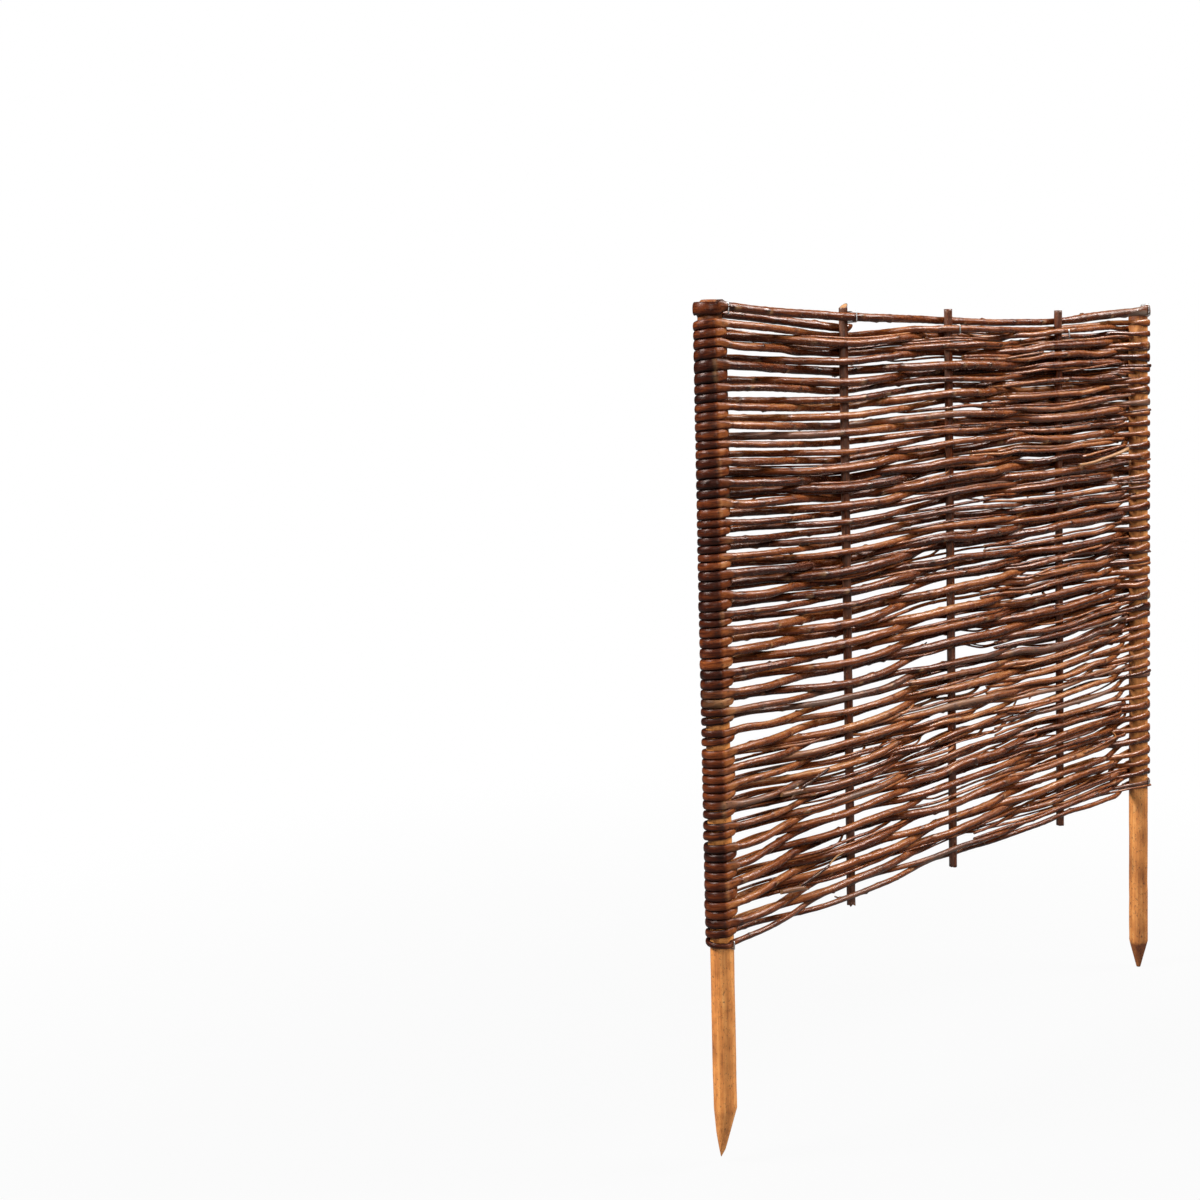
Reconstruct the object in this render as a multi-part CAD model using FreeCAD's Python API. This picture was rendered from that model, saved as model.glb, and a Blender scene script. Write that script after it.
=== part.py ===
import FreeCAD, Part
import math
import os
import random
from FreeCAD import Vector

os.makedirs("parts", exist_ok=True)

# Driving dimensions in millimetres. X runs along the panel from the left stake's axis, the front
# faces -Y, and Z = 0 is the ground line, just under the lowest rod.
PANEL_LENGTH = 600.0
WOVEN_HEIGHT = 500.0
STAKE_DIAMETER = 20.0
STAKE_TOP_DIAMETER = 19.2
STAKE_PROJECTION = 2.0
STAKE_CHAMFER = 3.0
SPIKE_LENGTH = 130.0
LEFT_POINT_LENGTH = 40.0
LEFT_POINT_DIAMETER = 4.0
LEFT_POINT_CUTS = (25.0, 150.0, 265.0)
LEFT_CUT_START = 0.1
RIGHT_SPIKE_EXTRA = 16.0
RIGHT_POINT_LENGTH = 28.0
RIGHT_POINT_DIAMETER = 4.0
RIB_POSITIONS = (0.255, 0.487, 0.767)
RIB_DIAMETER = 7.6
RIB_HEADS = (3.5, 7.5, 9.0)
RIB_FOOT = 8.0
RIB_SLANT = 30.0
ROD_COUNT = 33
ROD_DIAMETER_LEFT = 5.8
ROD_DIAMETER_RIGHT = 4.6
ROD_SIZE_SPREAD = 0.2
TOP_ROD_DIAMETER = 6.6
TOP_ROD_SIDES = (-1, 1, 1)
LOWEST_ROD_SIZE = 0.72
BAND_THICKNESS = 4.2
BAND_SPREAD = 0.12
BARE_BANDS = (0.65, 0.68, 0.8, 0.83)
BARE_HEIGHT = 4.0
PROUD_BANDS = (0.35, 0.39, 0.45, 0.82, 0.92)
PROUD_REACH = 4.0
CAP_HEIGHT = 9.6
CAP_THICKNESS = 5.2
LOWEST_BAND_HEIGHT = 4.2
LOWEST_BAND_GAP = 5.0
RIGHT_RISE = 14.0
FILLER_COUNT = 11
FILLER_REACH = (12.0, 60.0)
FILLER_ROOM = 4.8
CROSSING_ROOM = 0.7
TUCK = 14.0
STAPLE_WIRE = 1.2
STAPLE_DEPTH = 6.0
STAPLED_LANES = ("top", "f0", "b0", "top")
EDGE_STAPLE = 0.36
SEED = 11

# Clearances
ROD_CLEARANCE = 0.2
BAND_GAP = 0.5
LEAST_EASE = 0.1
STAPLE_CLEARANCE = 0.15
STAPLE_ROOM = STAPLE_WIRE + 4 * STAPLE_CLEARANCE

# Tied values
UP = Vector(0, 0, 1)
SIDES_PER_TURN = 8
STAKE_SIDES = 24
HEX_THICKNESS = 0.93
HEX_HEIGHT = 1.05
EXIT_SHIFT = 0.1
STAKE_SPACING = PANEL_LENGTH - STAKE_DIAMETER - 2 * (BAND_THICKNESS + ROD_CLEARANCE)
STAKE_TOP = WOVEN_HEIGHT + STAKE_PROJECTION
RIB_X = [share * STAKE_SPACING for share in RIB_POSITIONS]
STATION_X = [0.0] + RIB_X + [STAKE_SPACING]
TOP_ROD_Z = WOVEN_HEIGHT - CAP_HEIGHT / 2
TOP_SIZE = TOP_ROD_DIAMETER / ROD_DIAMETER_LEFT
FILLER_SIZE = 1.0 - ROD_SIZE_SPREAD / 4
FILLED_RODS = [round((index + 0.5) * (ROD_COUNT - 1) / FILLER_COUNT) for index in range(FILLER_COUNT)]
BAND_COUNT = 2 * ROD_COUNT - 1
BARE_TURNS = [round(share * BAND_COUNT) for share in BARE_BANDS]
PROUD_TURNS = [round(share * BAND_COUNT) for share in PROUD_BANDS]

rng = random.Random(SEED)


def lerp(a, b, share):
    return a + (b - a) * share


def clamp(value, low, high):
    return min(max(value, low), high)


def stake_radius(z):
    return lerp(STAKE_DIAMETER, STAKE_TOP_DIAMETER, clamp(z / STAKE_TOP, 0.0, 1.0)) / 2


def rod_radius(x, size):
    return lerp(ROD_DIAMETER_LEFT, ROD_DIAMETER_RIGHT, x / STAKE_SPACING) * size / 2


# A rod is a faceted solid through six-sided sections with upright inner and outer flats. A stop on
# its route is (x, y, z, half thickness, half height).
SECTION = ((1, 0.5), (0, 1), (-1, 0.5), (-1, -0.5), (0, -1), (1, -0.5))


def sections(route):
    points = [Vector(*stop[:3]) for stop in route]
    normals = []
    for start, end in zip(points, points[1:]):
        run = Vector(end.x - start.x, end.y - start.y, 0).normalize()
        normals.append(Vector(run.y, -run.x, 0))
    for index, stop in enumerate(route):
        before = normals[max(index - 1, 0)]
        after = normals[min(index, len(normals) - 1)]
        mitre = (before + after).normalize()
        across = mitre * (stop[3] / mitre.dot(after))
        for a, b in SECTION:
            yield points[index] + across * a + UP * (stop[4] * b)


def sweep(route):
    sides = len(SECTION)
    last = (len(route) - 1) * sides
    facets = []
    for ring in range(0, last, sides):
        for side in range(sides):
            a, b = ring + side, ring + (side + 1) % sides
            facets += [(a, b, b + sides), (a, b + sides, a + sides)]
    for corner in range(1, sides - 1):
        facets.append((0, corner + 1, corner))
        facets.append((last, last + corner, last + corner + 1))
    skin = Part.Shape()
    skin.makeShapeFromMesh((list(sections(route)), facets), ROD_CLEARANCE / 100)
    return Part.Solid(skin.Shells[0]).removeSplitter()


# The wraps on the left stake: one winding of bands from the cap down, counted in turns from the
# top. A rod takes two bands of it. Turn n is at the stake's front and n + 0.5 behind it. Bare stake
# shows above some bands, and some stand off the stake's left side.
rod_sizes = [rng.uniform(1 - ROD_SIZE_SPREAD, 1 + ROD_SIZE_SPREAD) for _ in range(ROD_COUNT)]
rod_sizes[-1] = LOWEST_ROD_SIZE
band_weights = []
for turn in range(BAND_COUNT - 1):
    band_weights.append(rod_sizes[turn // 2] * rng.uniform(1 - BAND_SPREAD, 1 + BAND_SPREAD))
band_room = WOVEN_HEIGHT - CAP_HEIGHT - LOWEST_BAND_GAP - LOWEST_BAND_HEIGHT
band_room -= 2 * STAPLE_ROOM + BAND_COUNT * BAND_GAP + len(BARE_TURNS) * BARE_HEIGHT
band_heights = [band_room * weight / sum(band_weights) for weight in band_weights]
band_heights += [LOWEST_BAND_HEIGHT] * 2
band_z = []
edge = WOVEN_HEIGHT - CAP_HEIGHT - STAPLE_ROOM
for index in range(BAND_COUNT):
    edge -= BAND_GAP
    if index in BARE_TURNS:
        edge -= BARE_HEIGHT
    if index == BAND_COUNT - 1:
        edge -= LOWEST_BAND_GAP
    band_z.append(edge - band_heights[index] / 2)
    edge -= band_heights[index]
band_z.append(band_z[-1])


def along_winding(values, turn):
    index = min(int(turn), len(values) - 2)
    return lerp(values[index], values[index + 1], min(turn - index, 1.0))


# How far a loop stands off at a turn: most at the left side, a quarter turn on from the front.
def proud(turn):
    away = min(abs(turn - loop - 0.25) for loop in PROUD_TURNS)
    return PROUD_REACH * max(1 - 4 * away, 0.0)


def wrap_stop(axis_x, turn, z, half_thickness, half_height, slack=0.0):
    angle = -math.pi / 2 - 2 * math.pi * turn
    reach = stake_radius(z) + ROD_CLEARANCE + half_thickness + slack
    reach /= math.cos(math.pi / SIDES_PER_TURN)
    return (axis_x + reach * math.cos(angle), reach * math.sin(angle), z, half_thickness, half_height)


# A wrap's first and last stops lie past the stake, where the band is a round rod again.
def left_wrap(first_turn, last_turn, size):
    count = round((last_turn - first_turn) * SIDES_PER_TURN) + 2
    half_thickness = BAND_THICKNESS * min(size, 1.0) / 2
    stops = []
    for index in range(count):
        turn = first_turn + (index - 0.5) / SIDES_PER_TURN
        on_band = clamp(turn, first_turn, last_turn)
        z = along_winding(band_z, on_band)
        height = along_winding(band_heights, on_band)
        if index in (0, count - 1):
            z += EXIT_SHIFT * height * (1 if index else -1)
            height = min(height, 2 * rod_radius(0, size) * HEX_HEIGHT)
        stops.append(wrap_stop(0.0, turn, z, half_thickness, height / 2, proud(turn)))
    return stops


# Round the right stake a rod goes from the front by the right side to the back.
def right_wrap(z_front, z_back, size):
    half_turn = SIDES_PER_TURN // 2
    radius = rod_radius(STAKE_SPACING, size)
    stops = []
    for index in range(half_turn + 2):
        z = lerp(z_front, z_back, clamp((index - 0.5) / half_turn, 0.0, 1.0))
        turn = (0.5 - index) / SIDES_PER_TURN
        stops.append(wrap_stop(STAKE_SPACING, turn, z, radius * HEX_THICKNESS, radius * HEX_HEIGHT))
    return stops


# Heights of the rods at the ribs and the right stake: a stack from the top rod down, where every
# rod takes its own height and a share of the free room. Each rod has two lanes, f for the run that
# leaves the left stake in front and b for the one that leaves it behind. A filler's are p and q. A
# lane's ease is its share of the free room, part of it the same all along the lane. At each upright
# one lane is stapled, with room for the wire above and below it.
top_lanes = [("top", TOP_SIZE)]
tail_lanes = top_lanes + [("tail", TOP_SIZE)]
rod_lanes = []
filled_lanes = []
for rod, size in enumerate(rod_sizes):
    pair = [(f"f{rod}", size), (f"b{rod}", size)]
    rod_lanes += pair
    filled_lanes += pair
    if rod in FILLED_RODS:
        filled_lanes += [(f"p{rod}", FILLER_SIZE), (f"q{rod}", FILLER_SIZE)]
lane_sizes = dict(tail_lanes + filled_lanes)
lane_ease = {name: LEAST_EASE + rng.random() ** 2 for name in lane_sizes}


def stack(lanes, station, rooms):
    x = STATION_X[station]
    halves = [rod_radius(x, size) * HEX_HEIGHT for _, size in lanes]
    foot = RIGHT_RISE * x / STAKE_SPACING + halves[-1] + STAPLE_ROOM
    names = [name for name, _ in lanes]
    gaps = [rooms.get(name, 0.0) for name in names]
    stapled = names.index(STAPLED_LANES[station - 1])
    for index in range(max(stapled, 1), stapled + 2):
        gaps[index] += STAPLE_ROOM
    eases = [0.0] + [lane_ease[name] + rng.random() ** 2 for name, _ in lanes[1:]]
    free = TOP_ROD_Z - foot - 2 * sum(halves) + halves[0] + halves[-1] - sum(gaps)
    heights = {}
    z = TOP_ROD_Z + halves[0]
    for index, (name, _) in enumerate(lanes):
        z -= gaps[index] + free * eases[index] / sum(eases) + halves[index]
        heights[name] = z
        z -= halves[index]
    return heights


crossing_rooms = {f"f{rod}": CROSSING_ROOM for rod in range(1, ROD_COUNT)}
filler_rooms = {f"f{rod + 1}": FILLER_ROOM for rod in FILLED_RODS}
lanes_at = [
    {},
    stack(tail_lanes + rod_lanes, 1, crossing_rooms),
    stack(top_lanes + rod_lanes, 2, filler_rooms),
    stack(top_lanes + filled_lanes, 3, {}),
    stack(top_lanes + filled_lanes, 4, {}),
]


# A stop beside an upright of the given radius: side -1 is in front of it and 1 behind.
def beside(station, lane, size, side, upright, offset=0.0):
    x = STATION_X[station]
    radius = rod_radius(x, size)
    y = side * (upright + ROD_CLEARANCE + radius * HEX_THICKNESS)
    return (x + offset, y, lanes_at[station][lane], radius * HEX_THICKNESS, radius * HEX_HEIGHT)


def at_rib(station, lane, size, side):
    return beside(station, lane, size, side, RIB_DIAMETER / 2)


def at_right_stake(lane, size, side, offset):
    return beside(4, lane, size, side, STAKE_DIAMETER / 2, offset * STAKE_DIAMETER)


# A rod folded round the left stake. Its front run goes on round the right stake and its back run
# is cut off behind that.
def woven_rod(rod):
    size = rod_sizes[rod]
    front, back = f"f{rod}", f"b{rod}"
    last_turn = 2 * rod + (0.5 if rod == ROD_COUNT - 1 else 1.5)
    z_right = lanes_at[4][front]
    route = right_wrap(z_right, z_right, size)[-2::-1]
    route += [at_rib(3, front, size, 1), at_rib(2, front, size, -1), at_rib(1, front, size, 1)]
    route += left_wrap(2 * rod, last_turn, size)
    route += [at_rib(1, back, size, -1), at_rib(2, back, size, 1), at_rib(3, back, size, -1)]
    route += [at_right_stake(back, size, 1, offset) for offset in (-0.25, 0.35)]
    return sweep(route)


# The top rod's left end caps the left stake and is tucked in behind the first rib.
def top_rod():
    route = [at_right_stake("top", TOP_SIZE, -1, offset) for offset in (0.5, -0.25)]
    route += [at_rib(station, "top", TOP_SIZE, TOP_ROD_SIDES[station - 1]) for station in (3, 2, 1)]
    stops = SIDES_PER_TURN // 2 + 2
    for index in range(stops):
        turn = 0.5 + (0.5 - index) / SIDES_PER_TURN
        height = TOP_ROD_DIAMETER * HEX_HEIGHT if index in (0, stops - 1) else CAP_HEIGHT
        route.append(wrap_stop(0.0, turn, TOP_ROD_Z, CAP_THICKNESS / 2, height / 2))
    tail = at_rib(1, "tail", TOP_SIZE, 1)
    route += [tail, (tail[0] + TUCK,) + tail[1:]]
    return sweep(route)


# A filler is folded round the right stake, and both of its cut ends are in the bay between the
# second and third ribs.
def filler(rod):
    front, back = f"p{rod}", f"q{rod}"
    above, below = f"b{rod}", f"f{rod + 1}"
    bay = RIB_X[2] - RIB_X[1]
    rest = at_rib(2, below, FILLER_SIZE, -1)
    lift = rest[4] + rod_radius(RIB_X[1], rod_sizes[rod + 1]) * HEX_HEIGHT + BAND_GAP
    start = rest[:2] + (rest[2] + lift,) + rest[3:]
    front_in = at_rib(3, front, FILLER_SIZE, 1)
    reach = rng.uniform(*FILLER_REACH) / bay
    front_end = tuple(lerp(a, b, reach) for a, b in zip(start, front_in))
    middle = (lanes_at[2][above] + lanes_at[2][below]) / 2
    finish = (rest[0], -rest[1], middle) + rest[3:]
    back_in = at_rib(3, back, FILLER_SIZE, -1)
    reach = rng.uniform(*FILLER_REACH) / bay
    back_end = tuple(lerp(a, b, reach) for a, b in zip(back_in, finish))
    wrap = right_wrap(lanes_at[4][front], lanes_at[4][back], FILLER_SIZE)
    return sweep([front_end, front_in] + wrap + [back_in, back_end])


def bar(start, end):
    low = Vector(*[min(a, b) - STAPLE_WIRE / 2 for a, b in zip(start, end)])
    size = [abs(a - b) + STAPLE_WIRE for a, b in zip(start, end)]
    return Part.makeBox(*size, low)


# A staple over the rod at a stop: a bridge in front of the rod and two legs back past it, to
# leg_end, with hooks round a rib where hook_x is given.
def staple(x, stop, leg_end, hook_x=None):
    y = stop[1] - stop[3] - 3 * STAPLE_CLEARANCE - STAPLE_WIRE / 2
    half = stop[4] + 2 * STAPLE_CLEARANCE + STAPLE_WIRE / 2
    low, high = stop[2] - half, stop[2] + half
    bars = [bar((x, y, low), (x, y, high))]
    for z in (low, high):
        bars.append(bar((x, y, z), (x, leg_end, z)))
        if hook_x is not None:
            bars.append(bar((x, leg_end, z), (hook_x, leg_end, z)))
    return bars[0].fuse(bars[1:]).removeSplitter()


def stake_staple(axis_x, offset, stop):
    leg_end = STAPLE_DEPTH - math.sqrt(stake_radius(stop[2]) ** 2 - offset ** 2)
    return staple(axis_x + offset, stop, leg_end)


def rib_staple(index):
    beside_rib = RIB_DIAMETER / 2 + STAPLE_CLEARANCE + STAPLE_WIRE / 2
    lane = STAPLED_LANES[index]
    stop = at_rib(index + 1, lane, lane_sizes[lane], -1)
    return staple(RIB_X[index] + beside_rib, stop, beside_rib, RIB_X[index])


# Stakes are round, a little thinner inside the weave than at the spike, and chamfered on top.
def stake(spike_length, point_diameter, point_length):
    spike = Part.makeCylinder(STAKE_DIAMETER / 2, spike_length, Vector(0, 0, -spike_length))
    foot = Vector(0, 0, -spike_length)
    point = Part.makeCone(STAKE_DIAMETER / 2, point_diameter / 2, point_length, foot, -UP)
    shoulder = STAKE_TOP_DIAMETER / 2
    profile = [(STAKE_DIAMETER / 2, 0.0), (shoulder, STAKE_TOP - STAKE_CHAMFER)]
    profile.append((shoulder - STAKE_CHAMFER, STAKE_TOP))
    rings = []
    for radius, z in profile:
        turns = [2 * math.pi * side / STAKE_SIDES for side in range(STAKE_SIDES + 1)]
        rings.append(Part.makePolygon([Vector(radius * math.cos(a), radius * math.sin(a), z) for a in turns]))
    return spike.fuse([point, Part.makeLoft(rings, True, True)])


# The left point is hewn with flat cuts, each from a little way down to the very tip.
def left_stake():
    body = stake(SPIKE_LENGTH, LEFT_POINT_DIAMETER, LEFT_POINT_LENGTH)
    radius = lerp(STAKE_DIAMETER, LEFT_POINT_DIAMETER, LEFT_CUT_START) / 2
    high = Vector(radius, 0, -SPIKE_LENGTH - LEFT_CUT_START * LEFT_POINT_LENGTH)
    run = Vector(0, 0, -SPIKE_LENGTH - LEFT_POINT_LENGTH) - high
    tilt = math.degrees(math.atan2(-run.x, -run.z))
    for turn in LEFT_POINT_CUTS:
        waste = Part.makeBox(STAKE_DIAMETER, 2 * STAKE_DIAMETER, 2 * LEFT_POINT_LENGTH)
        waste.translate(Vector(0, -STAKE_DIAMETER, -2 * LEFT_POINT_LENGTH))
        waste.rotate(Vector(0, 0, 0), Vector(0, 1, 0), tilt)
        waste.translate(high)
        waste.rotate(Vector(0, 0, 0), UP, turn)
        body = body.cut(waste)
    return body


def right_stake():
    body = stake(SPIKE_LENGTH + RIGHT_SPIKE_EXTRA, RIGHT_POINT_DIAMETER, RIGHT_POINT_LENGTH)
    body.translate(Vector(STAKE_SPACING, 0, 0))
    return body


# The first rib's top is cut on the slant, the others' square.
def rib(index):
    foot = RIGHT_RISE * RIB_POSITIONS[index] - RIB_FOOT
    head = TOP_ROD_Z + TOP_ROD_DIAMETER / 2 + RIB_HEADS[index]
    body = Part.makeCylinder(RIB_DIAMETER / 2, head - foot, Vector(RIB_X[index], 0, foot))
    if index == 0:
        waste = Part.makeBox(RIB_DIAMETER * 2, RIB_DIAMETER, RIB_DIAMETER)
        waste.translate(Vector(-RIB_DIAMETER, -RIB_DIAMETER / 2, 0))
        waste.rotate(Vector(0, 0, 0), Vector(0, 1, 0), -RIB_SLANT)
        drop = math.tan(math.radians(RIB_SLANT)) * RIB_DIAMETER / 2
        waste.translate(Vector(RIB_X[index], 0, head - drop))
        body = body.cut(waste)
    return body


lowest = ROD_COUNT - 1
edge_offset = EDGE_STAPLE * STAKE_DIAMETER
cap_half = TOP_ROD_DIAMETER * HEX_HEIGHT / 2
cap_exit = wrap_stop(0.0, -0.5 / SIDES_PER_TURN, TOP_ROD_Z, CAP_THICKNESS / 2, cap_half)
lowest_exit = left_wrap(2 * lowest, 2 * lowest + 0.5, LOWEST_ROD_SIZE)[0]
left_staples = [stake_staple(0.0, edge_offset, stop) for stop in (cap_exit, lowest_exit)]
right_staples = []
for lane in ("top", f"f{lowest}"):
    stop = at_right_stake(lane, lane_sizes[lane], -1, 0.0)
    right_staples.append(stake_staple(STAKE_SPACING, 0.0, stop))

shapes = {"left_stake": left_stake().cut(left_staples), "right_stake": right_stake().cut(right_staples)}
for index in range(len(RIB_X)):
    shapes[f"rib_{index + 1}"] = rib(index)
shapes["top_rod"] = top_rod()
for rod in range(ROD_COUNT):
    shapes[f"rod_{rod + 1:02d}"] = woven_rod(rod)
for number, rod in enumerate(FILLED_RODS):
    shapes[f"filler_{number + 1}"] = filler(rod)
shapes["stake_staples"] = Part.makeCompound(left_staples + right_staples)
shapes["rib_staples"] = Part.makeCompound([rib_staple(index) for index in range(len(RIB_X))])

for name, shape in shapes.items():
    shape.exportStep(f"parts/{name}.step")
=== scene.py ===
import bpy
import math
import random
import numpy as np
from mathutils import Matrix, Vector


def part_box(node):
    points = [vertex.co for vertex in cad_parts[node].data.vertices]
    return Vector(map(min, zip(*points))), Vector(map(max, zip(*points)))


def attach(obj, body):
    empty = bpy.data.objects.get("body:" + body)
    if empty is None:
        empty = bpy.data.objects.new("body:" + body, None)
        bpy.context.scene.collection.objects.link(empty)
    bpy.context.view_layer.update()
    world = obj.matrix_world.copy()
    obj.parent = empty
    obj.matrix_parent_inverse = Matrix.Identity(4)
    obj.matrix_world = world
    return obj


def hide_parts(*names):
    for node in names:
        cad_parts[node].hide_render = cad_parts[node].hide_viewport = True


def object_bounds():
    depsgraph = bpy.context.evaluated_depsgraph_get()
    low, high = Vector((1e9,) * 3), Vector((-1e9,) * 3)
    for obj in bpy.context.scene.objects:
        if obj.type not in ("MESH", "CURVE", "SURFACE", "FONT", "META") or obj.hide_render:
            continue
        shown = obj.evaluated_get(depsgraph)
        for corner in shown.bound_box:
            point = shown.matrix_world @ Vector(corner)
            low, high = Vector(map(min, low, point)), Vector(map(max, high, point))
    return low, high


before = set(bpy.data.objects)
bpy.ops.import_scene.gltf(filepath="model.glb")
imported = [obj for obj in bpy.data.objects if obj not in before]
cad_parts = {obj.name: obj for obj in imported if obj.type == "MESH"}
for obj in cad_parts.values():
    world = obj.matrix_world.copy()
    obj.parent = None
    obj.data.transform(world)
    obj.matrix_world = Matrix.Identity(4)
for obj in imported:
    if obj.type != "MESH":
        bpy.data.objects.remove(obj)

cadBox = [list(corner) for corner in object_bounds()]
print("stage: frame loaded")

up = np.array([0.0, 0.0, 1.0])


def mix(a, b, share):
    return a + (b - a) * share


def smooth(share):
    share = np.clip(share, 0.0, 1.0)
    return share * share * (3 - 2 * share)


# A soft hump, one at its middle
def hump(away, width):
    return np.exp(-(away / width) ** 2)


def turnFrom(angle, facing):
    return np.angle(np.exp(1j * (angle - facing)))


def ringAngles(sides):
    return math.tau * np.arange(sides) / sides


def together(*parts):
    return np.stack(np.broadcast_arrays(*parts), -1)


def unit(vectors):
    return vectors / np.linalg.norm(vectors, axis=-1, keepdims=True)


def addObject(name, data):
    made = bpy.data.objects.new(name, data)
    bpy.context.scene.collection.objects.link(made)
    return made


# Camera, fitted to the stakes, the ribs and the corners of the weave in the photograph
cameraSettings = {
    "place": (-0.7734, -0.8846, 0.4471),
    "turn": -41.43,
    "dip": 4.01,
    "roll": -1.12,
    "lens": 46.2,
    "sensor": 36.0,
    "shift": (-0.1, -0.1),
    "clipStart": 0.01,
}


def makeCamera():
    turn, dip, roll = (math.radians(cameraSettings[key]) for key in ("turn", "dip", "roll"))
    ahead = Vector((-math.sin(turn) * math.cos(dip), math.cos(turn) * math.cos(dip), -math.sin(dip)))
    level = ahead.cross(Vector((0, 0, 1))).normalized()
    above = level.cross(ahead)
    right = level * math.cos(roll) + above * math.sin(roll)
    above = right.cross(ahead)
    data = bpy.data.cameras.new("camera")
    data.sensor_width = cameraSettings["sensor"]
    data.lens = cameraSettings["lens"]
    data.shift_x, data.shift_y = cameraSettings["shift"]
    data.clip_start = cameraSettings["clipStart"]
    camera = addObject("camera", data)
    turned = Matrix((right, above, -ahead)).transposed().to_4x4()
    camera.matrix_world = Matrix.Translation(cameraSettings["place"]) @ turned
    bpy.context.scene.camera = camera


makeCamera()


# Shader helpers
def plug(tree, socket, value):
    if isinstance(value, bpy.types.NodeSocket):
        tree.links.new(value, socket)
    else:
        socket.default_value = value


def addNode(tree, kind, sockets=None, **values):
    made = tree.nodes.new(kind)
    for key, value in values.items():
        setattr(made, key, value)
    for key, value in (sockets or {}).items():
        plug(tree, made.inputs[key], value)
    return made


def maths(tree, operation, *values, clamp=False):
    sockets = dict(enumerate(values))
    return addNode(tree, "ShaderNodeMath", sockets, operation=operation, use_clamp=clamp).outputs[0]


# A start, and shares of other values on top of it
def addUp(tree, start, *parts):
    for value, share in parts:
        start = maths(tree, "MULTIPLY_ADD", value, share, start)
    return start


def centred(tree, value):
    return maths(tree, "SUBTRACT", value, 0.5)


def stretched(tree, vector, scale):
    return addNode(tree, "ShaderNodeVectorMath", {0: vector, 1: scale}, operation="MULTIPLY").outputs[0]


def noise(tree, vector, scale, detail=3.0, rough=0.6, distort=0.0):
    sockets = {"Vector": stretched(tree, vector, scale), "Scale": 1.0, "Detail": detail, "Roughness": rough}
    return addNode(tree, "ShaderNodeTexNoise", {**sockets, "Distortion": distort}).outputs["Fac"]


def step(tree, value, low, high):
    sockets = {"Value": value, "From Min": low, "From Max": high}
    return addNode(tree, "ShaderNodeMapRange", sockets, interpolation_type="SMOOTHSTEP").outputs["Result"]


def ramp(tree, value, stops):
    made = addNode(tree, "ShaderNodeValToRGB", {"Fac": value})
    elements = made.color_ramp.elements
    while len(elements) < len(stops):
        elements.new(0.5)
    for element, (place, colour) in zip(elements, stops):
        element.position = place
        element.color = (*colour, 1.0)
    return made.outputs["Color"]


def blend(tree, factor, a, b, how="MIX"):
    made = addNode(tree, "ShaderNodeMix", {"Factor": factor}, data_type="RGBA", blend_type=how)
    for socket, value in zip(made.inputs[6:8], (a, b)):
        plug(tree, socket, value if isinstance(value, bpy.types.NodeSocket) else (*value, 1.0))
    return made.outputs[2]


def startGroup(name, sockets):
    group = bpy.data.node_groups.new(name, "ShaderNodeTree")
    for inOut, kind, names in sockets:
        for label in names:
            group.interface.new_socket(label, in_out=inOut, socket_type="NodeSocket" + kind)
    return group, addNode(group, "NodeGroupInput"), addNode(group, "NodeGroupOutput")


# Bark: streaks along the rod, weathered patches, pale pores, dark flecks and raw fibres
barkSettings = {
    "streak": (55.0, 640.0, 640.0),
    "fibre": (300.0, 2300.0, 2300.0),
    "patch": (15.0, 130.0, 130.0),
    "pore": (300.0, 620.0, 620.0),
    "tones": (
        (0.0, (0.008, 0.0008, 0.0002)),
        (0.28, (0.042, 0.0065, 0.0012)),
        (0.52, (0.140, 0.030, 0.0060)),
        (0.76, (0.310, 0.090, 0.0220)),
        (1.0, (0.520, 0.230, 0.085)),
    ),
    "patchEdge": (0.36, 0.62),
    "weathered": ((0.10, 0.062, 0.042), (0.210, 0.145, 0.108)),
    "poreEdge": (0.12, 0.3),
    "poreShare": (0.66, 0.7),
    "poreTone": (0.400, 0.230, 0.130),
    "fleckEdge": (0.58, 0.68),
    "fleckTone": (0.016, 0.006, 0.004),
    "tornEdge": (0.25, 0.6),
    "shineTone": (1.0, 0.84, 0.77, 1.0),
    "bumpDepth": 0.0006,
    "rawTones": ((0.0, (0.260, 0.095, 0.030)), (1.0, (0.680, 0.400, 0.180))),
}


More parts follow.
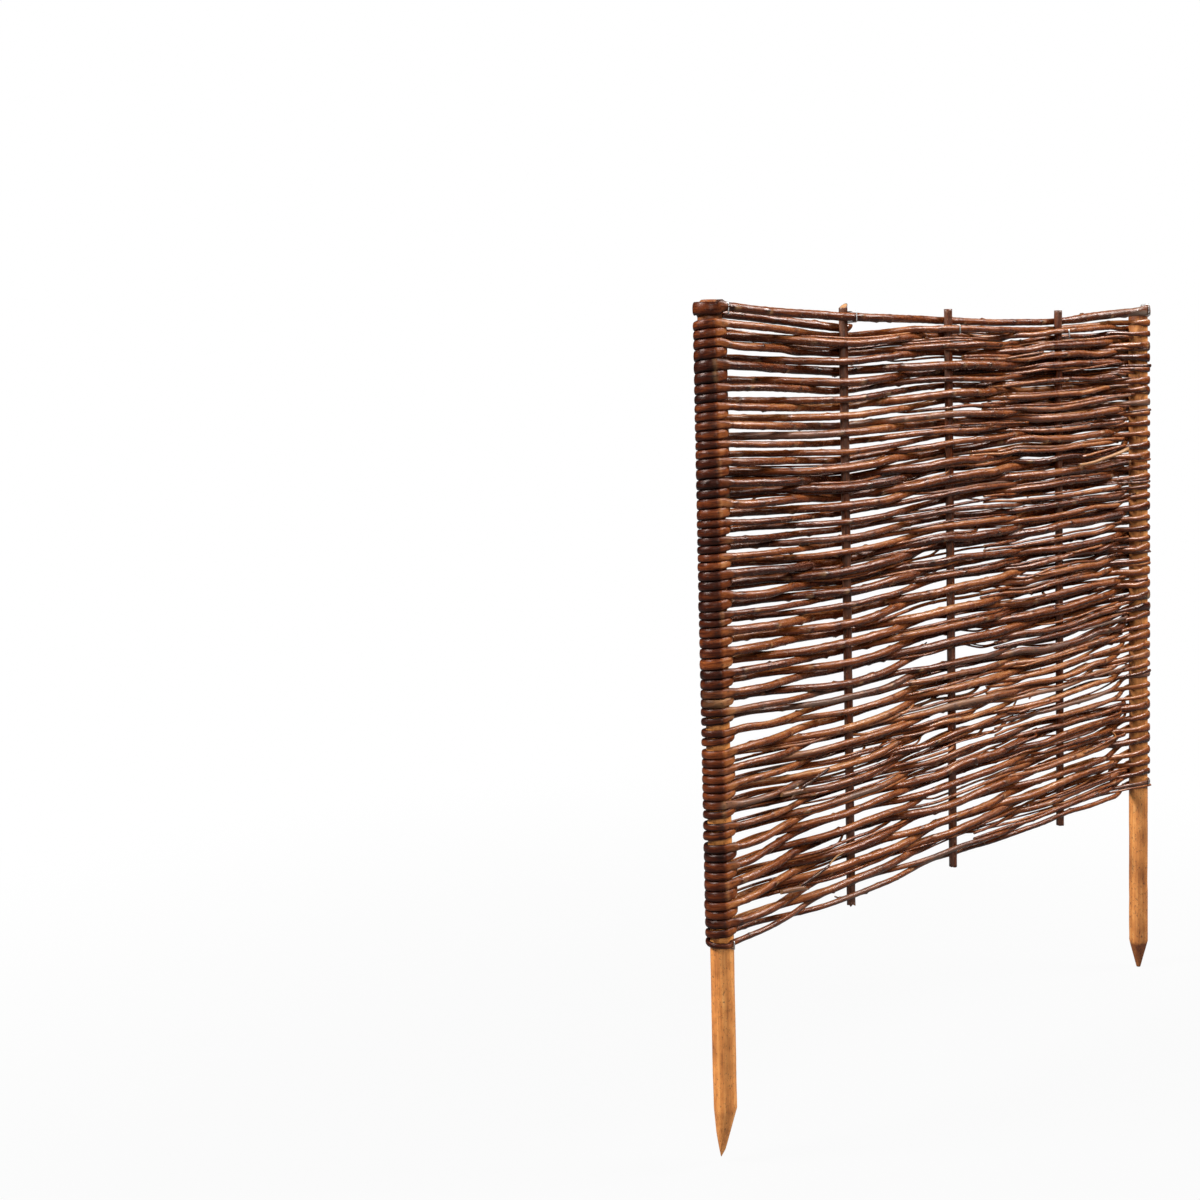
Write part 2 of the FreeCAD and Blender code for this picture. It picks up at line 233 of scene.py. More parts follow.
def barkGroup():
    values = ("Tint", "Grey", "Raw", "Band")
    sockets = (("INPUT", "Vector", ("Along",)), ("INPUT", "Float", values))
    sockets += (("OUTPUT", "Color", ("Color",)), ("OUTPUT", "Float", ("Roughness", "Height")))
    tree, given, out = startGroup("bark", sockets)
    along, tint, grey, raw, band = (given.outputs[key] for key in ("Along",) + values)
    streak = noise(tree, along, barkSettings["streak"], 4.0, 0.65)
    fibre = noise(tree, along, barkSettings["fibre"], 2.0)
    patch = noise(tree, along, barkSettings["patch"], 3.0, 0.6, 0.4)
    tone = addUp(tree, tint, (centred(tree, streak), 0.9), (centred(tree, fibre), 0.35))
    colour = ramp(tree, tone, barkSettings["tones"])
    weather = maths(tree, "MULTIPLY", grey, step(tree, patch, *barkSettings["patchEdge"]))
    colour = blend(tree, weather, colour, blend(tree, fibre, *barkSettings["weathered"]))
    sockets = {"Vector": stretched(tree, along, barkSettings["pore"]), "Scale": 1.0}
    cells = addNode(tree, "ShaderNodeTexVoronoi", sockets)
    chosen = addNode(tree, "ShaderNodeSeparateColor", {0: cells.outputs["Color"]})
    pore = maths(tree, "SUBTRACT", 1.0, step(tree, cells.outputs["Distance"], *barkSettings["poreEdge"]))
    pore = maths(tree, "MULTIPLY", pore, step(tree, chosen.outputs[0], *barkSettings["poreShare"]))
    pore = maths(tree, "MULTIPLY", pore, maths(tree, "SUBTRACT", 1.0, band), clamp=True)
    colour = blend(tree, maths(tree, "MULTIPLY", pore, 0.55), colour, barkSettings["poreTone"])
    fleck = step(tree, noise(tree, along, barkSettings["pore"], 3.0, 0.7), *barkSettings["fleckEdge"])
    colour = blend(tree, maths(tree, "MULTIPLY", fleck, 0.65), colour, barkSettings["fleckTone"])
    torn = maths(tree, "MULTIPLY", raw, step(tree, streak, *barkSettings["tornEdge"]), clamp=True)
    colour = blend(tree, torn, colour, ramp(tree, fibre, barkSettings["rawTones"]))
    plug(tree, out.inputs["Color"], colour)
    rough = addUp(tree, 0.15, (fibre, 0.2), (weather, 0.2), (band, 0.12), (torn, 0.2))
    plug(tree, out.inputs["Roughness"], rough)
    plug(tree, out.inputs["Height"], addUp(tree, streak, (fibre, 0.35), (pore, 0.25), (fleck, -0.3)))
    return tree


# Peeled wood: long grain, fine fibres and dark flecks
woodSettings = {
    "grain": (7.0, 210.0, 210.0),
    "fibre": (34.0, 1300.0, 1300.0),
    "fleck": (380.0, 620.0, 620.0),
    "patch": (90.0, 150.0, 150.0),
    "tones": (
        (0.18, (0.350, 0.108, 0.022)),
        (0.42, (0.640, 0.230, 0.052)),
        (0.62, (0.780, 0.312, 0.078)),
        (0.85, (0.880, 0.435, 0.140)),
    ),
    "fleckTone": (0.110, 0.038, 0.014),
    "fleckEdge": (0.57, 0.66),
    "paleTone": (0.62, 0.42, 0.22),
    "aged": (0.30, 0.22, 0.17),
    "bump": 0.5,
    "bumpDepth": 0.0004,
}


def woodGroup():
    sockets = (("INPUT", "Vector", ("Along",)), ("INPUT", "Float", ("Fleck", "Pale", "Age")))
    sockets += (("OUTPUT", "Color", ("Color",)), ("OUTPUT", "Float", ("Height",)))
    tree, given, out = startGroup("wood", sockets)
    along, amount, pale, darkening = (given.outputs[key] for key in ("Along", "Fleck", "Pale", "Age"))
    grain = noise(tree, along, woodSettings["grain"], 5.0, 0.62, 0.6)
    fibre = noise(tree, along, woodSettings["fibre"], 3.0)
    patch = noise(tree, along, woodSettings["patch"], 3.0)
    tone = addUp(tree, grain, (centred(tree, fibre), 0.7), (centred(tree, patch), 0.7))
    colour = ramp(tree, tone, woodSettings["tones"])
    speck = noise(tree, along, woodSettings["fleck"], 4.0, 0.72)
    fleck = maths(tree, "MULTIPLY", step(tree, speck, *woodSettings["fleckEdge"]), amount, clamp=True)
    colour = blend(tree, fleck, colour, woodSettings["fleckTone"])
    colour = blend(tree, pale, colour, woodSettings["paleTone"])
    # The darkening multiplies in a darker tone: on the stakes it is partly stains and dirt and partly painted
    # shade
    plug(tree, out.inputs["Color"], blend(tree, darkening, colour, woodSettings["aged"], "MULTIPLY"))
    plug(tree, out.inputs["Height"], addUp(tree, fibre, (grain, 0.5), (fleck, -0.4)))
    return tree


bark = barkGroup()
wood = woodGroup()


def readAttribute(tree, name):
    return addNode(tree, "ShaderNodeAttribute", attribute_name=name)


def startMaterial(name):
    material = bpy.data.materials.new(name)
    material.use_nodes = True
    return material, material.node_tree, material.node_tree.nodes["Principled BSDF"]


def bumped(tree, shader, height, strength, distance):
    sockets = {"Strength": strength, "Distance": distance, "Height": height}
    made = addNode(tree, "ShaderNodeBump", sockets)
    plug(tree, shader.inputs["Normal"], made.outputs["Normal"])


def barkMaterial(name, bump, shine):
    material, tree, shader = startMaterial(name)
    pattern = addNode(tree, "ShaderNodeGroup", node_tree=bark)
    tones = readAttribute(tree, "tone")
    tone = addNode(tree, "ShaderNodeSeparateColor", {0: tones.outputs["Color"]})
    plug(tree, pattern.inputs["Band"], tones.outputs["Alpha"])
    plug(tree, pattern.inputs["Along"], readAttribute(tree, "along").outputs["Vector"])
    for key, socket in zip(("Tint", "Grey", "Raw"), tone.outputs):
        plug(tree, pattern.inputs[key], socket)
    plug(tree, shader.inputs["Base Color"], pattern.outputs["Color"])
    plug(tree, shader.inputs["Roughness"], pattern.outputs["Roughness"])
    shader.inputs["Specular IOR Level"].default_value = shine
    shader.inputs["Specular Tint"].default_value = barkSettings["shineTone"]
    bumped(tree, shader, pattern.outputs["Height"], bump, barkSettings["bumpDepth"])
    return material


def woodMaterial(name, fleck, pale, rough):
    material, tree, shader = startMaterial(name)
    tone = addNode(tree, "ShaderNodeSeparateColor", {0: readAttribute(tree, "tone").outputs["Color"]})
    along = readAttribute(tree, "along").outputs["Vector"]
    sockets = {"Along": along, "Fleck": fleck, "Pale": pale, "Age": tone.outputs[0]}
    pattern = addNode(tree, "ShaderNodeGroup", sockets, node_tree=wood)
    plug(tree, shader.inputs["Base Color"], pattern.outputs["Color"])
    shader.inputs["Roughness"].default_value = rough
    bumped(tree, shader, pattern.outputs["Height"], woodSettings["bump"], woodSettings["bumpDepth"])
    return material


wireSettings = {
    "grain": (900.0, 900.0, 900.0),
    "tones": ((0.3, (0.42, 0.41, 0.40)), (0.7, (0.80, 0.79, 0.77))),
    "bump": 0.3,
    "bumpDepth": 0.0002,
}


def wireMaterial():
    material, tree, shader = startMaterial("stapleWire")
    place = addNode(tree, "ShaderNodeTexCoord").outputs["Object"]
    dull = noise(tree, place, wireSettings["grain"], 4.0)
    plug(tree, shader.inputs["Base Color"], ramp(tree, dull, wireSettings["tones"]))
    plug(tree, shader.inputs["Roughness"], maths(tree, "MULTIPLY_ADD", dull, 0.4, 0.2))
    shader.inputs["Metallic"].default_value = 1.0
    bumped(tree, shader, dull, wireSettings["bump"], wireSettings["bumpDepth"])
    return material


willowBark = barkMaterial("willowBark", 0.55, 0.44)
wrapBark = barkMaterial("wrapBark", 0.55, 0.23)
ribBark = barkMaterial("ribBark", 0.7, 0.44)
cutWood = woodMaterial("cutWood", 0.5, 0.55, 0.7)
leftWood = woodMaterial("leftStakeWood", 0.75, 0.0, 0.52)
rightWood = woodMaterial("rightStakeWood", 1.0, 0.0, 0.6)
stapleWire = wireMaterial()
print("stage: materials made")


# A piece gathers tubes: rings of points with their place along the rod and their tones
class Piece:
    def __init__(self):
        self.points, self.along, self.tone, self.faces, self.kinds = [], [], [], [], []
        self.count = 0

    def addRings(self, rings, along, tone, darkening=0.5):
        rows, sides = rings.shape[:2]
        base = self.count
        self.points.append(rings.reshape(-1, 3))
        self.along.append(along.reshape(-1, 3))
        tone = np.broadcast_to(tone, (rows, sides, tone.shape[-1])).reshape(rows * sides, -1)
        self.tone.append(np.pad(tone, ((0, 0), (0, 4 - tone.shape[1]))))
        self.count += rows * sides
        row, side = np.meshgrid(np.arange(rows - 1), np.arange(sides), indexing="ij")
        a = base + row * sides + side
        b = base + row * sides + (side + 1) % sides
        self.faces.append(np.stack([a, b, b + sides, a + sides], -1).reshape(-1, 4))
        band = self.tone[-1][:, 3].reshape(rows, sides)
        self.kinds.append(np.where(band[1:] > 0.5, 2, 0).ravel())
        self.addCap(rings[0], along[0], base, False, darkening)
        self.addCap(rings[-1], along[-1], base + (rows - 1) * sides, True, darkening)

    # A cut end: a rim of bark, then bare wood to the middle
    def addCap(self, ring, along, base, ahead, darkening):
        sides = len(ring)
        middle = ring.mean(0)
        inner = np.concatenate([mix(middle, ring, 0.86), [middle]])
        self.points.append(inner)
        self.along.append(np.concatenate([along, [along.mean(0)]]))
        self.tone.append(np.full((sides + 1, 4), darkening))
        index = np.arange(sides)
        after = (index + 1) % sides
        first = self.count
        rim = np.stack([base + index, base + after, first + after, first + index], -1)
        disc = np.stack([first + index, first + after, np.full(sides, first + sides)], -1)
        if not ahead:
            rim, disc = rim[:, ::-1], disc[:, ::-1]
        self.faces += [rim, disc]
        self.kinds += [np.zeros(sides, int), np.ones(sides, int)]
        self.count += sides + 1

    def finish(self, name, materials, slot, *nodes):
        mesh = bpy.data.meshes.new(name)
        faces = [face.tolist() for group in self.faces for face in group]
        points = np.clip(np.concatenate(self.points), *cadBox)
        mesh.from_pydata(points.tolist(), [], faces)
        mesh.polygons.foreach_set("material_index", np.concatenate(self.kinds))
        mesh.polygons.foreach_set("use_smooth", np.concatenate(self.kinds) != 1)
        place = mesh.attributes.new("along", "FLOAT_VECTOR", "POINT")
        place.data.foreach_set("vector", np.concatenate(self.along).astype(np.float32).ravel())
        tone = mesh.attributes.new("tone", "FLOAT_COLOR", "POINT")
        tone.data.foreach_set("color", np.concatenate(self.tone).astype(np.float32).ravel())
        for material in materials:
            mesh.materials.append(material)
        piece = addObject(name, mesh)
        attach(piece, "root")
        if nodes:
            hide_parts(*nodes)


# Where the CAD has its uprights and rods
def corners(node):
    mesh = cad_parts[node].data
    places = np.empty(len(mesh.vertices) * 3)
    mesh.vertices.foreach_get("co", places)
    return np.unique(places.reshape(-1, 3).round(7), axis=0)


def middleOf(node):
    low, high = (np.array(corner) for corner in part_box(node))
    return (low + high) / 2


ribNodes = ("rib_1", "rib_2", "rib_3")
rodNodes = sorted(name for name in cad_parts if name.startswith("rod_"))
fillerNodes = [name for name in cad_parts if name.startswith("filler_")]
fillerNodes.sort(key=lambda name: int(name.split("_")[1]))
stakeX = (middleOf("left_stake")[0], middleOf("right_stake")[0])
stakeRadius = (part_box("left_stake")[1][1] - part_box("left_stake")[0][1]) / 2
stationX = [stakeX[0]] + [middleOf(name)[0] for name in ribNodes] + [stakeX[1]]

rodSettings = {
    "sides": 12,
    "turnSides": 8,
    "hexHeight": 1.05,
    "fullness": (1.12, 1.06),
    "stepAlong": 0.003,
    "stepRound": 0.0012,
    "waveLength": (0.16, 0.6),
    "wave": (0.0005, 0.0016),
    "sizes": (0.84, 1.34),
    "turnStart": (0.05, 0.35),
    "turnLast": 0.65,
    "late": (0.35, 0.7),
    "rightThickness": 0.0012,
    "spread": 0.3,
    "kinkStep": (0.016, 0.05),
    "kink": 0.00035,
    "settle": 0.010,
    "packed": 0.96,
    "give": 0.0022,
    "seed": 5,
}
rng = random.Random(rodSettings["seed"])
laneX = np.linspace(stationX[0], stationX[4], 201)


# Middle and half sizes of a section, from its corners: x, y, z, half thickness, half height
def section(points):
    low, high = points.min(0), points.max(0)
    return np.array([*(low + high) / 2, np.ptp(points[:, 1]) / 2, np.ptp(points[:, 2]) / 2])


def sectionAt(points, x, side):
    return section(points[(abs(points[:, 0] - x) < 0.002) & (points[:, 1] * side > 0)])


# Bands are rods wrapped round the left stake. They hug it, and turn a corner at the front.
woundRadius = stakeRadius * 0.94
bandSettings = {
    "halfThickness": 0.0018,
    "looseFrom": 0.0142,
    "loose": 0.6,
    "fit": 1.04,
    "reachOut": 0.0045,
    "narrowing": 0.005,
    "knuckle": 0.0035,
    "boxed": 0.86,
    "corner": math.radians(-112),
    "cornerWidth": 0.17,
    "cornerSize": 0.085,
    "cracks": (0.0, 0.0, 0.0, 0.0, 0.3),
    # Painted light on a band in front of its corner, and painted shade behind it
    "worn": (-0.12, 0.19),
}


def atCorner(angle, width):
    return hump(turnFrom(angle, bandSettings["corner"]), width)


# The sections of a wrap round the left stake: turn, z, half height, reach
def wrapSections(points):
    turnSides = rodSettings["turnSides"]
    near = points[np.hypot(points[:, 0], points[:, 1]) < stakeRadius * 2]
    turns = (-0.25 - np.arctan2(near[:, 1], near[:, 0]) / math.tau) % 1.0
    bins = np.round(turns * turnSides - 0.5).astype(int) % turnSides
    found = []
    for index in range(turnSides):
        group = near[bins == index]
        group = group[np.argsort(-group[:, 2])]
        first = -1 if index == turnSides - 1 else 0
        for ring in range(len(group) // 6):
            six = group[ring * 6:ring * 6 + 6]
            reach = np.hypot(six[:, 0], six[:, 1])
            turn = (index + 0.5) / turnSides + first + ring
            inside = (reach.max() + reach.min()) / 2 * math.cos(math.pi / turnSides)
            found.append((turn, (six[0, 2] + six[-1, 2]) / 2, (six[0, 2] - six[-1, 2]) / 2, inside))
    found = np.array(sorted(found)).T
    loose = np.maximum(found[3] - bandSettings["looseFrom"], 0.0) * bandSettings["loose"]
    found[3] = woundRadius + bandSettings["halfThickness"] + loose
    return found


# A lane is one run of a rod between the stakes. Its stops are x, y, z and radius. It changes sides somewhere
# between its stops, and late before the right stake.
class Lane:
    def __init__(self, stops):
        stops = np.array(stops)
        self.start, self.end = stops[0, 0], stops[-1, 0]
        order = np.searchsorted(stops[:, 0], laneX, side="right").clip(1, len(stops) - 1)
        share = (laneX - stops[order - 1, 0]) / (stops[order, 0] - stops[order - 1, 0])
        begins = np.array([rng.uniform(*rodSettings["turnStart"]) for _ in stops])
        lasts = np.full(len(stops), rodSettings["turnLast"])
        if stops[-1, 0] == stationX[4]:
            begins[-1] = rng.uniform(*rodSettings["late"])
            lasts[-1] = 1 - begins[-1]
        self.y = mix(stops[order - 1, 1], stops[order, 1], smooth((share - begins[order]) / lasts[order]))
        self.z = np.interp(laneX, stops[:, 0], stops[:, 2])
        self.radius = np.interp(laneX, stops[:, 0], stops[:, 3])
        self.here = (laneX > self.start - 0.003) & (laneX < self.end + 0.003)
        self.rank = np.interp(stationX[3] - 0.02, laneX[self.here], self.z[self.here])
        self.free = smooth((laneX - stationX[0]) / 0.05) * smooth((stationX[4] - laneX) / 0.05)

    # Waves and a size of its own, both growing to the right
    def addWaves(self):
        grown = smooth((laneX - stationX[1] / 2) / stationX[2])
        self.radius = self.radius * (1 + (rng.uniform(*rodSettings["sizes"]) - 1) * grown)
        for _ in range(3):
            length = rng.uniform(*rodSettings["waveLength"])
            size = mix(*rodSettings["wave"], grown) * rng.uniform(0.3, 1.0)
            self.z = self.z + size * np.sin(math.tau * (laneX / length + rng.random())) * self.free

    # Small changes of direction where the rod has buds
    def addKinks(self):
        knots = [stationX[0]]
        while knots[-1] < stationX[4]:
            knots.append(knots[-1] + rng.uniform(*rodSettings["kinkStep"]))
        for key in ("y", "z"):
            shifts = [rng.uniform(-1, 1) * rodSettings["kink"] for _ in knots]
            setattr(self, key, getattr(self, key) + np.interp(laneX, knots, shifts) * self.free)

    def route(self, start, end):
        count = max(int(abs(end - start) / rodSettings["stepAlong"]), 4)
        x = np.linspace(start, end, count)
        return np.stack([x, np.interp(x, laneX, self.y), np.interp(x, laneX, self.z)], -1)

    def radiusAt(self, route):
        return np.interp(route[:, 0], laneX, self.radius)


def roundRadius(stop):
    return stop[4] / rodSettings["hexHeight"] * mix(*rodSettings["fullness"], stop[0] / stationX[4])


def ribStops(points, sides):
    stops = []
    for x, side in zip(stationX[1:4], sides):
        stop = sectionAt(points, x, side)
        stops.append((x, stop[1], stop[2], roundRadius(stop)))
    return stops


def rightStop(side, z, radius):
    return (stationX[4], side * (woundRadius + rodSettings["rightThickness"]), z, radius)


def readRod(node):
    points = corners(node)
    wrap = wrapSections(points)
    lastTurn = wrap[0, -1] - 0.5 / rodSettings["turnSides"]
    far = points[points[:, 0] > stationX[4] - stakeRadius]
    front = section(far[far[:, 1] < 0])
    behind = section(far[(far[:, 1] > 0) & (far[:, 2] < front[2] - front[4])])
    radius = roundRadius(front)
    lanes = {}
    for key, side, turn, end in (("front", -1, 0.0, front), ("back", 1, lastTurn, behind)):
        ribs = ribStops(points, (-side, side, -side))
        z, reach = (np.interp(turn, wrap[0], wrap[row]) for row in (1, 3))
        left = (stationX[0], side * reach, z, ribs[0][3])
        right = rightStop(side, end[2], radius)
        lanes[key] = Lane([left] + ribs + [right])
    return {"wrap": wrap, "lastTurn": lastTurn, **lanes}


topSettings = {"sides": (-1, 1, 1), "capThickness": 0.0018, "overhang": 0.004, "thicker": 0.45}


def readTopRod():
    points = corners("top_rod")
    cap = section(points[points[:, 0] < stationX[0]])
    reach = woundRadius + topSettings["capThickness"]
    ribs = ribStops(points, topSettings["sides"])
    radius = ribs[0][3]
    end = section(points[points[:, 0] > stationX[4] - stakeRadius])
    behind = points[points[:, 1] > 0]
    near = (behind[:, 0] > stationX[1] - 0.002) & (behind[:, 0] < stationX[1] + 0.02)
    tail = section(behind[near])
    right = rightStop(-1, end[2], roundRadius(end))
    front = Lane([(stationX[0], -reach, cap[2], radius)] + ribs + [right])
    back = Lane([(stationX[0], reach, cap[2], radius), (stationX[1], tail[1], tail[2], radius),
                 (tail[0] + (tail[0] - stationX[1]), tail[1], tail[2], radius)])
    front.radius = front.radius * (1 + topSettings["thicker"] * smooth((laneX - stationX[3] - 0.01) / 0.04))
    back.rank = front.rank - 0.0005
    return {"reach": reach, "z": cap[2], "half": cap[4], "front": front, "back": back}


def readFiller(node):
    points = corners(node)
    far = points[points[:, 0] > stationX[4] - stakeRadius]
    inside = points[points[:, 0] < stationX[3] - 0.005]
    lanes = {}
    for key, side in (("front", -1), ("back", 1)):
        rib = sectionAt(points, stationX[3], -side)
        end = section(far[far[:, 1] * side > stakeRadius * 0.9])
        half = inside[(inside[:, 2] > inside[:, 2].mean()) == (key == "front")]
        tip = section(half[half[:, 0] < half[:, 0].min() + 0.006])
        radius = roundRadius(rib)
        stops = [(tip[0], tip[1], tip[2], radius * 0.5), (stationX[3], rib[1], rib[2], radius)]
        right = rightStop(side, end[2], radius)
        lanes[key] = Lane(stops + [right])
    return lanes


rods = {node: readRod(node) for node in rodNodes}
fillers = {node: readFiller(node) for node in fillerNodes}
topRod = readTopRod()
rodLanes = [rod[key] for rod in rods.values() for key in ("front", "back")]
fillerLanes = [filler[key] for filler in fillers.values() for key in ("front", "back")]
for lane in rodLanes + fillerLanes:
    lane.addWaves()
print("stage: routes read", len(rods), len(fillers))


# Thin twigs laid in between the rods. Some come out from behind the left stake, and the others end by the
# right one or pass over it. Wide gaps and a packed stretch low on the left get more of them.
twigSettings = {
    "wideShares": (0.6, 0.35),
    "packedHeights": (0.095, 0.150),
    "leftHeights": ((0.470, 0.488), (0.350, 0.380), (0.268, 0.305), (0.085, 0.150), (0.022, 0.055)),
    "leftShare": 0.85,
    "radius": (0.0008, 0.0017),
    "length": (0.14, 0.42),
    "left": (0.004, 0.0125),
    "right": (0.012, 0.035),
    "passing": 0.25,
    "overhang": (0.0, 0.006),
    "ribRoom": 0.0042,
    "sides": 7,
}
looseSettings = {
    "count": 22,
    "x": (0.24, 0.50),
    "z": (0.015, 0.470),
    "length": (0.07, 0.17),
    "tilt": (-0.003, 0.012),
    "y": (-0.0100, -0.0080),
    "radius": (0.0008, 0.0016),
}


def twigLane(upper, lower):
    length, radius = (rng.uniform(*twigSettings[key]) for key in ("length", "radius"))
    side = rng.choice((-1, 1))
    height = upper.z[0]
    gathered = any(low < height < high for low, high in twigSettings["leftHeights"])
    if not gathered or rng.random() > twigSettings["leftShare"]:
        passing = rng.random() < twigSettings["passing"]
        start = stationX[4] - length - (0.0 if passing else rng.uniform(*twigSettings["right"]))
        stops = [(start, 0.004, 0.0, radius * 0.7)]
    else:
        passing = False
        start, y = twigSettings["left"]
        stops = [(start, y, 0.0, radius)]
    for x in stationX[1:4]:
        if start + 0.02 < x < start + length - 0.02:
            side = -side
            stops.append((x, side * (twigSettings["ribRoom"] + radius), 0.0, radius))
    last = stationX[4] if passing else start + length
    reach = woundRadius + rodSettings["rightThickness"] if passing else 0.006
    stops.append((last, -side * reach, 0.0, radius * 1.1))
    lane = Lane(stops)
    lane.end += rng.uniform(*twigSettings["overhang"]) if passing else 0.0
    lane.z = (upper.z + lower.z) / 2
    lane.rank = (upper.rank + lower.rank) / 2 + rng.uniform(-1e-4, 1e-4)
    lane.host = upper
    lane.tucked = 1 - smooth((laneX - lane.start) / 0.04 if start > 0.02 else (lane.end - laneX) / 0.04)
    return lane


# Loose twigs lie aslant over the rods, with their ends tucked in
def looseLane():
    keys = ("x", "z", "length", "tilt", "y", "radius")
    x, z, length, tilt, y, radius = (rng.uniform(*looseSettings[key]) for key in keys)
    end = min(x + length, stationX[4] - 0.014)
    shares, depths, sizes = (0.0, 0.25, 0.75, 1.0), (0.004, y, y, 0.004), (0.7, 0.9, 1.0, 1.1)
    return Lane([(mix(x, end, share), depth, z + tilt * share, radius * size)
                 for share, depth, size in zip(shares, depths, sizes)])


pairs = list(zip(rodLanes, rodLanes[1:]))
gapCount = len(pairs)
atRib = np.searchsorted(laneX, stationX[3])
widestFirst = sorted(pairs, key=lambda pair: pair[1].z[atRib] - pair[0].z[atRib])
for share in twigSettings["wideShares"]:
    pairs += widestFirst[:int(share * gapCount)]
packedLow, packedHigh = twigSettings["packedHeights"]
pairs += [pair for pair in widestFirst if packedLow < pair[0].z[0] < packedHigh] * 2
twigs = [twigLane(*pair) for pair in pairs]
looseTwigs = [looseLane() for _ in range(looseSettings["count"])]


# The top edge sags between the uprights, and the top rod ends high on the right stake
sagSettings = {
    "x": (*stationX[:3], stationX[2] + 0.07, stationX[3], stationX[3] + 0.05, stationX[4]),
    "drop": (0.0, 0.0050, 0.0064, 0.0084, 0.0068, 0.0030, -0.0050),
    "depth": 0.06,
    "raisedDepth": 0.004,
}


def sag(x, z):
    drop = np.interp(x, sagSettings["x"], sagSettings["drop"])
    depth = np.where(drop > 0, sagSettings["depth"], sagSettings["raisedDepth"])
    return -drop * np.exp((z - topRod["z"]) / depth)


for lane in [topRod["front"], topRod["back"]] + rodLanes + fillerLanes + twigs + looseTwigs:
    lane.z = lane.z + sag(laneX, np.minimum(lane.z, topRod["z"]))


# Rods that lie on each other push apart: where neighbours meet, they give way alike
def settle(heights, drops):
    floor = np.concatenate([[0.0], np.cumsum(drops)])
    blocks = []
    for value in heights + floor:
        blocks.append([value, 1])
        while len(blocks) > 1 and blocks[-2][0] < blocks[-1][0]:
            value, count = blocks.pop()
            total = blocks[-1][1] + count
            blocks[-1] = [(blocks[-1][0] * blocks[-1][1] + value * count) / total, total]
    return np.concatenate([np.full(count, value) for value, count in blocks]) - floor


def settleLanes(lanes):
    lanes = sorted(lanes, key=lambda lane: -lane.rank)
    for index in range(len(laneX)):
        here = [lane for lane in lanes if lane.here[index]]
        rows = [[getattr(lane, key)[index] for lane in here] for key in ("y", "z", "radius")]
        y, z, radius = np.array(rows)
        reach = radius[1:] + radius[:-1]
        nested = np.sqrt(np.clip(1 - (np.diff(y) / reach) ** 2, 0.25, 1.0))
        drops = reach * nested
        drops *= min(1.0, rodSettings["packed"] * (z[0] - z[-1]) / drops.sum())
        settled = np.clip(settle(z, drops), z - rodSettings["give"], z + rodSettings["give"])
        for lane, value in zip(here, settled):
            lane.z[index] = value
    width = rodSettings["settle"] / (laneX[1] - laneX[0])
    side = 12
    weights = np.exp(-0.5 * (np.arange(-side, side + 1) / width) ** 2)
    for lane in lanes:
        inside = np.flatnonzero(lane.here)
        padded = np.pad(lane.z[inside], side, mode="reflect", reflect_type="odd")
        lane.z[inside] = np.convolve(padded, weights / weights.sum(), mode="valid")
        lane.addKinks()


settleLanes([topRod["front"], topRod["back"]] + rodLanes + fillerLanes + twigs)
for twig in twigs:
    twig.z = mix(twig.z, twig.host.z, twig.tucked)
    twig.y = mix(twig.y, twig.host.y + twig.host.radius + twig.radius, twig.tucked)
for twig in looseTwigs:
    twig.addKinks()
print("stage: lanes settled")


def lengthAlong(route):
    return np.concatenate([[0.0], np.cumsum(np.linalg.norm(np.diff(route, axis=0), axis=1))])


# Uneven thickness: waves along a tube that also turn round it
def ripples(length, angle, count, waves, turns, size):
    total = 0.0
    for _ in range(count):
        wave, turn = rng.uniform(*waves), rng.choice(turns)
        total = total + size * np.sin(math.tau * (length[:, None] / wave + rng.random()) + turn * angle)
    return total


swellSettings = {"count": 5, "waves": (0.006, 0.05), "turns": (0, 1, 1, 2, 3), "size": 0.016}
budSettings = {
    "first": (0.005, 0.03),
    "step": (0.014, 0.045),
    "length": 0.002,
    "width": 0.5,
    "size": (0.14, 0.46),
    "node": 0.05,
    "shade": 0.4,
    "nodeShade": 0.1,
    "scar": (0.0, 1.2),
    "scarWidth": 0.4,
    "shootShare": 0.05,
}


# Buds, each on a small node of the rod and with a pale scar beside it. Some carry a side shoot, which is
# given back as its row and facing.
def addBuds(length, angle, flat, swell, tone):
    place = rng.uniform(*budSettings["first"])
    shoots = []
    while place < length[-1]:
        facing = rng.uniform(0, math.tau)
        away = (length[:, None] - place) / budSettings["length"]
        turned = turnFrom(angle, facing)
        bud = hump(away, 1) * hump(turned, budSettings["width"]) * (1 - flat)[:, None]
        swell += budSettings["node"] * hump(away, 1) + rng.uniform(*budSettings["size"]) * bud
        tone[..., 0] -= budSettings["nodeShade"] * hump(away - 1.2, 1) + budSettings["shade"] * bud
        scar = hump(away + 1.1, 1) * hump(turned, budSettings["scarWidth"])
        tone[..., 2] += rng.uniform(*budSettings["scar"]) * scar * (1 - flat)[:, None]
        row = int(np.argmin(abs(length - place)))
        if rng.random() < budSettings["shootShare"] and flat[row] < 0.1:
            shoots.append((row, facing))
        place += rng.uniform(*budSettings["step"])
    return shoots


